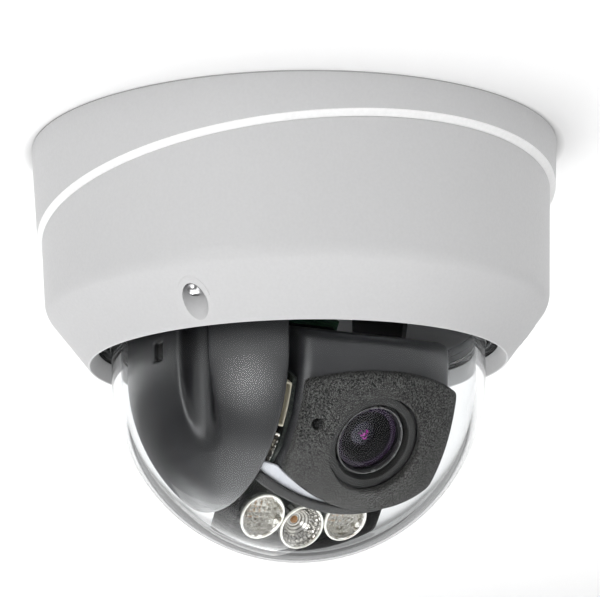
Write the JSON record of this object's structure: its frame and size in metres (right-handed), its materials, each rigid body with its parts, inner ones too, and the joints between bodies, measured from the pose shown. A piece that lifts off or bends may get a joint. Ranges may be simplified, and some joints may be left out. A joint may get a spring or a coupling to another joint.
{
  "type": "dome security camera",
  "caption": "Ceiling dome security camera: round base and slanted cover ring, clear dome, panning and tilting lens turret with a side mask and infra-red lamps.",
  "frame": {"origin": "centre of the flat face that meets the ceiling", "axes": "+Z into the ceiling, the dome hangs towards -Z; -Y is the front, where the slanted joint is nearest the ceiling; +X is to the right seen from the front"},
  "size_m": [0.15, 0.15, 0.1175],
  "materials": {
    "white_paint": "fine sand-textured off-white powder coat",
    "clear_dome": "clear moulded polycarbonate, glossy",
    "seal_rubber": "matt black rubber",
    "screw_steel": "bright plated steel",
    "sheet_steel": "plated sheet steel",
    "green_board": "green solder mask",
    "black_board": "black solder mask",
    "bright_metal": "plated shell",
    "terminal_plastic": "green moulded plastic",
    "heat_sink_aluminium": "extruded, satin",
    "brass": "machined",
    "black_plastic": "moulded, fine texture",
    "shroud_plastic": "black moulded plastic, half gloss",
    "turret_plastic": "dark grey moulded plastic, satin",
    "foam": "closed-cell foam, granular and matt",
    "light_plastic": "natural acetal",
    "optic_clear": "clear moulded acrylic with facets",
    "reflector_mirror": "vacuum-metallised cup",
    "lens_black": "black anodised, satin",
    "lens_glass": "coated glass, purple and green glints"
  },
  "bodies": {
    "root": {"base_housing": "white_paint", "conduit_plug": "white_paint", "body_gasket": "seal_rubber", "dome_cover": "white_paint", "cover_screw_1": "screw_steel", "cover_screw_2": "screw_steel", "cover_screw_3": "screw_steel", "clear_dome": "clear_dome", "dome_gasket": "seal_rubber", "dome_retaining_ring": "sheet_steel", "dome_ring_screw_1": "screw_steel", "dome_ring_screw_2": "screw_steel", "dome_ring_screw_3": "screw_steel", "main_board": "green_board", "network_socket": "bright_metal", "power_terminal": "terminal_plastic", "heat_sink": "heat_sink_aluminium", "reset_switch": "black_plastic", "chassis_plate": "sheet_steel", "board_standoff_1": "brass", "board_standoff_2": "brass", "board_standoff_3": "brass", "chassis_screw_1": "screw_steel", "chassis_screw_2": "screw_steel", "chassis_screw_3": "screw_steel"},
    "pan": {"pan_turntable": "black_plastic", "pan_washer": "light_plastic", "pan_nut": "screw_steel", "yoke_arm_left": "black_plastic", "yoke_arm_right": "black_plastic", "tilt_pivot_left": "screw_steel", "tilt_pivot_right": "screw_steel", "tilt_spacer": "light_plastic", "tilt_washer": "light_plastic", "side_shroud": "shroud_plastic"},
    "tilt": {"turret_shell": "turret_plastic", "foam_light_shield": "foam", "lens_cradle": "sheet_steel", "light_sensor": "black_plastic", "led_tray": "black_plastic", "led_board": "black_board", "led_optic_left": "optic_clear", "led_optic_right": "optic_clear", "led_reflector": "reflector_mirror", "connector_board": "black_board", "ribbon_connector": "light_plastic", "card_slot": "bright_metal"},
    "lens": {"lens_holder": "black_plastic", "sensor_board": "green_board", "lens_barrel": "lens_black", "front_element": "lens_glass"},
    "focus_ring": {"focus_ring": "lens_black"},
    "zoom_ring": {"zoom_ring": "lens_black"},
    "reset_button": {"reset_button": "black_plastic"}
  },
  "joints": [
    {"name": "pan", "type": "hinge", "parent": "root", "child": "pan", "pos_m": [0, 0, -0.036], "axis": [0, 0, 1], "range_deg": [-170, 170]},
    {"name": "tilt", "type": "hinge", "parent": "pan", "child": "tilt", "pos_m": [0, 0, -0.065], "axis": [0.9972, -0.075, 0], "range_deg": [-28, 56]},
    {"name": "lens_rotation", "type": "hinge", "parent": "tilt", "child": "lens", "pos_m": [0, 0, -0.065], "axis": [-0.0622, -0.8267, -0.5592], "range_deg": [-90, 90]},
    {"name": "focus_turn", "type": "hinge", "parent": "lens", "child": "focus_ring", "pos_m": [0, 0, -0.065], "axis": [-0.0622, -0.8267, -0.5592], "range_deg": [-60, 60]},
    {"name": "zoom_turn", "type": "hinge", "parent": "lens", "child": "zoom_ring", "pos_m": [0, 0, -0.065], "axis": [-0.0622, -0.8267, -0.5592], "range_deg": [-45, 45]},
    {"name": "reset_press", "type": "slide", "parent": "root", "child": "reset_button", "axis": [0, 0, 1], "range_m": [0, 0.0004], "stiffness_N_per_m": 500}
  ]
}
